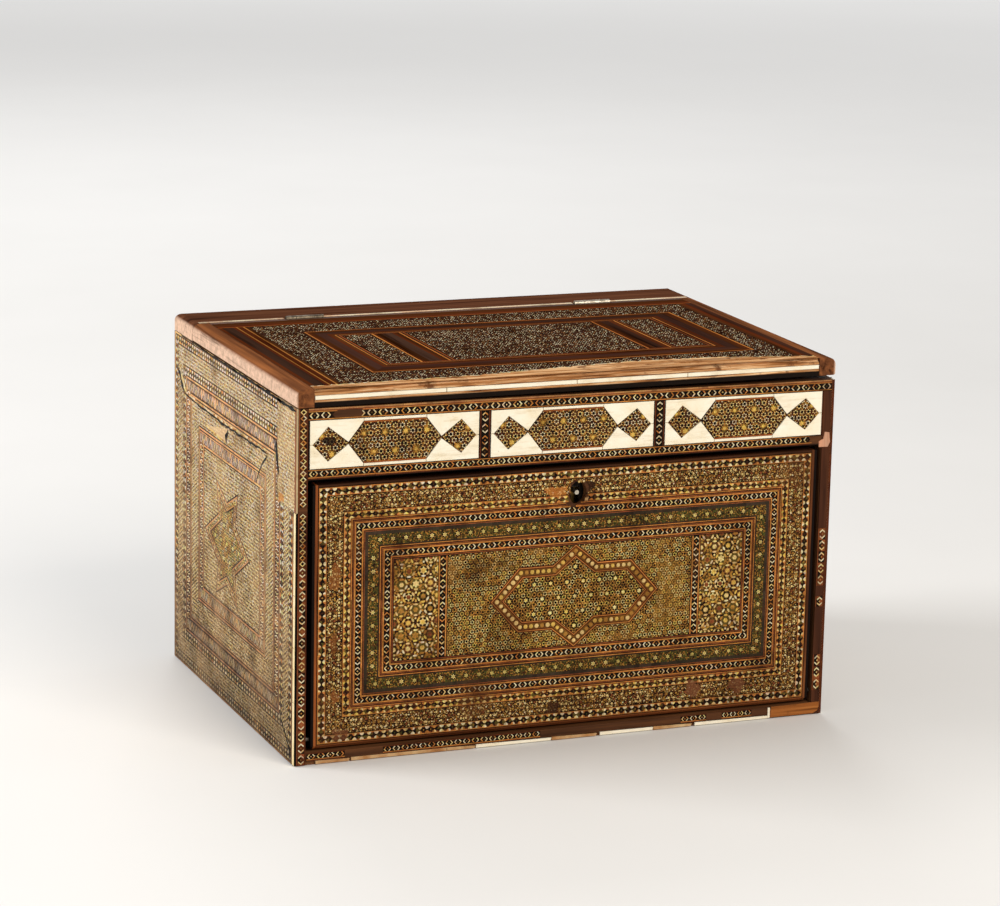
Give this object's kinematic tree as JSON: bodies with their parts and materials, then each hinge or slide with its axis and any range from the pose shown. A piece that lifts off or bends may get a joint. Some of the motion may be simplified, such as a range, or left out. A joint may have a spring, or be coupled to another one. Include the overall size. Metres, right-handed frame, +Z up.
{
  "type": "fall-front casket",
  "caption": "Rectangular khatam-veneered wooden casket with a rear-hinged flat lid over a shallow tray and a lockable fall-front that drops open to the lower compartment.",
  "frame": {"origin": "middle of the base, at the level it stands on", "axes": "+X to the right seen from the front, +Y from the front to the back, +Z up"},
  "size_m": [0.36, 0.254, 0.238],
  "materials": {
    "dark_wood": "dark carcass wood, worn and unpolished",
    "red_wood": "reddish brown edging wood, worn polish",
    "pale_wood": "pale worn wood",
    "khatam": "micro-mosaic of wood, bone and metal under old varnish",
    "bone": "polished cream bone",
    "hinge_metal": "silvery worn metal",
    "iron": "dark wrought iron",
    "brass": "spring brass"
  },
  "bodies": {
    "carcass": {"bottom_board": "dark_wood", "left_side_board": "dark_wood", "right_side_board": "dark_wood", "back_board": "dark_wood", "tray_floor": "dark_wood", "front_rail": "dark_wood", "rear_top_rail": "red_wood", "left_fall_stop": "dark_wood", "right_fall_stop": "dark_wood", "left_side_veneer": "khatam", "right_side_veneer": "khatam", "back_veneer": "khatam", "left_side_star": "khatam", "right_side_star": "khatam", "left_stile_strip": "khatam", "right_stile_strip": "khatam", "left_corner_bone": "bone", "right_corner_bone": "bone", "left_corner_patch": "pale_wood", "rail_border": "khatam", "rail_bone_panel_1": "bone", "rail_bone_panel_2": "bone", "rail_bone_panel_3": "bone", "rail_medallion_1": "khatam", "rail_medallion_2": "khatam", "rail_medallion_3": "khatam", "bottom_edge_strip": "khatam", "bottom_bone_strip": "bone", "left_hinge_fixed_leaf": "hinge_metal", "right_hinge_fixed_leaf": "hinge_metal", "left_hinge_pin": "iron", "right_hinge_pin": "iron", "left_pivot_pin": "iron", "right_pivot_pin": "iron", "strike_plate": "iron"},
    "lid": {"lid_board": "dark_wood", "lid_left_cleat": "red_wood", "lid_right_cleat": "red_wood", "lid_veneer": "khatam", "lid_front_lipping": "pale_wood", "lid_front_bone": "bone", "left_hinge_lid_leaf": "hinge_metal", "right_hinge_lid_leaf": "hinge_metal"},
    "fall_front": {"fall_board": "dark_wood", "fall_veneer": "khatam", "fall_star": "khatam", "fall_left_lipping": "red_wood", "fall_right_lipping": "red_wood", "fall_top_lipping": "red_wood", "fall_bottom_lipping": "red_wood", "lock_case": "iron", "lock_cover": "iron", "lock_drill_pin": "hinge_metal", "lock_spring": "brass", "lock_nail_1": "iron", "lock_nail_2": "iron", "lock_nail_3": "iron", "lock_nail_4": "iron"},
    "lock_bolt": {"lock_bolt": "iron"}
  },
  "joints": [
    {"name": "lid_hinge", "type": "hinge", "parent": "carcass", "child": "lid", "pos_m": [0, 0.087, 0.2362], "axis": [-1, 0, 0], "range_deg": [0, 105]},
    {"name": "fall_front_hinge", "type": "hinge", "parent": "carcass", "child": "fall_front", "pos_m": [0, -0.122, 0.0155], "axis": [1, 0, 0], "range_deg": [0, 90]},
    {"name": "lock_bolt_slide", "type": "slide", "parent": "fall_front", "child": "lock_bolt", "axis": [0, 0, 1], "range_m": [0, 0.007]}
  ]
}
